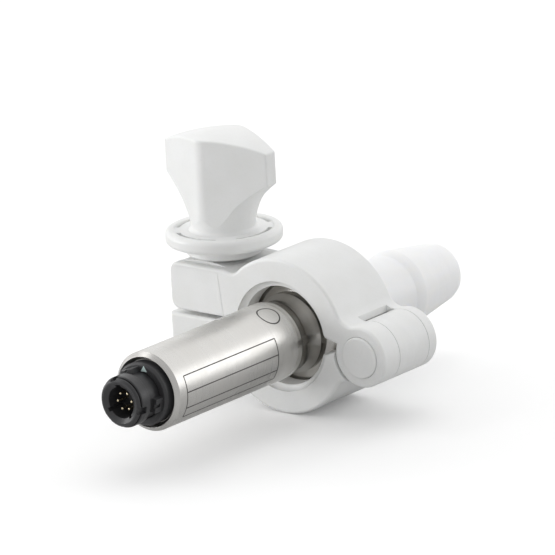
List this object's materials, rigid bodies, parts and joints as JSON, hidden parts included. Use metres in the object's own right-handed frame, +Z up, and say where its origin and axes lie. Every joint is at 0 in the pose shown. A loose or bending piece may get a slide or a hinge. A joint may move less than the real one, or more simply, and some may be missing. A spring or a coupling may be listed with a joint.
{
  "type": "pressure transmitter",
  "caption": "Slim steel pressure transmitter with a round plug connector, held to a hose adapter by a hinged white plastic ferrule clamp with a wing knob.",
  "frame": {"origin": "on the flow axis, in the middle of the gasket between the two ferrules", "axes": "+Y along the flow axis towards the hose end, -Y towards the plug connector, +X towards the clamp's hinge, -X towards the wing knob, +Z up along the swing bolt"},
  "size_m": [0.0614, 0.1053, 0.055],
  "materials": {
    "brushed_steel": "fine turned brushing around the body, satin",
    "polished_steel": "turned and polished, nearly mirror bright",
    "diaphragm_alloy": "thin corrugated foil, bright",
    "clamp_nylon": "moulded glass-filled nylon, fine matte texture",
    "adapter_plastic": "natural polypropylene, smooth and slightly translucent",
    "connector_plastic": "black moulded plastic, satin",
    "gasket_rubber": "translucent silicone, matte",
    "seal_rubber": "black rubber",
    "contact_gold": "gold plated, bright",
    "board_green": "solder-masked glass fibre board",
    "chip_black": "moulded chip housings",
    "silicon": "polished silicon",
    "carrier_plastic": "dark grey moulded plastic",
    "wire_red": "coloured wire insulation",
    "nut_metal": "nickel plated, satin"
  },
  "bodies": {
    "joint_base": {"housing_tube": "brushed_steel", "process_ferrule": "polished_steel", "diaphragm": "diaphragm_alloy", "sensor_header": "polished_steel", "sensing_die": "silicon", "header_pins": "contact_gold", "sensor_board": "board_green", "main_board": "board_green", "board_chips": "chip_black", "board_carrier": "carrier_plastic", "lead_wires": "wire_red", "connector_shell": "connector_plastic", "connector_insert": "connector_plastic", "contact_pins": "contact_gold", "connector_oring": "seal_rubber", "connector_nut": "nut_metal", "gasket": "gasket_rubber", "hose_adapter": "adapter_plastic", "clamp_lower": "clamp_nylon", "bolt_pin": "clamp_nylon"},
    "upper_half": {"clamp_upper": "clamp_nylon", "hinge_pin": "clamp_nylon"},
    "bolt": {"swing_bolt": "clamp_nylon"},
    "washer": {"seat_washer": "clamp_nylon"},
    "knob": {"wing_knob": "clamp_nylon"}
  },
  "joints": [
    {"name": "knob_turn", "type": "hinge", "parent": "washer", "child": "knob", "pos_m": [-0.021, 0, 0.02], "axis": [0, 0, 1], "range_deg": [0, 720]},
    {"name": "knob_lift", "type": "slide", "parent": "bolt", "child": "washer", "axis": [0, 0, 1], "range_m": [0, 0.005]},
    {"name": "bolt_swing", "type": "hinge", "parent": "joint_base", "child": "bolt", "pos_m": [-0.021, 0, -0.0045], "axis": [0, -1, 0], "range_deg": [0, 100]},
    {"name": "clamp_hinge", "type": "hinge", "parent": "joint_base", "child": "upper_half", "pos_m": [0.0205, 0, -0.00145], "axis": [0, 1, 0], "range_deg": [0, 3]}
  ],
  "couplings": [
    {"joint": "knob_lift", "follows": "knob_turn", "m_per_rad": 0.00039788},
    {"joint": "clamp_hinge", "follows": "knob_turn", "ratio": 0.0041666}
  ]
}
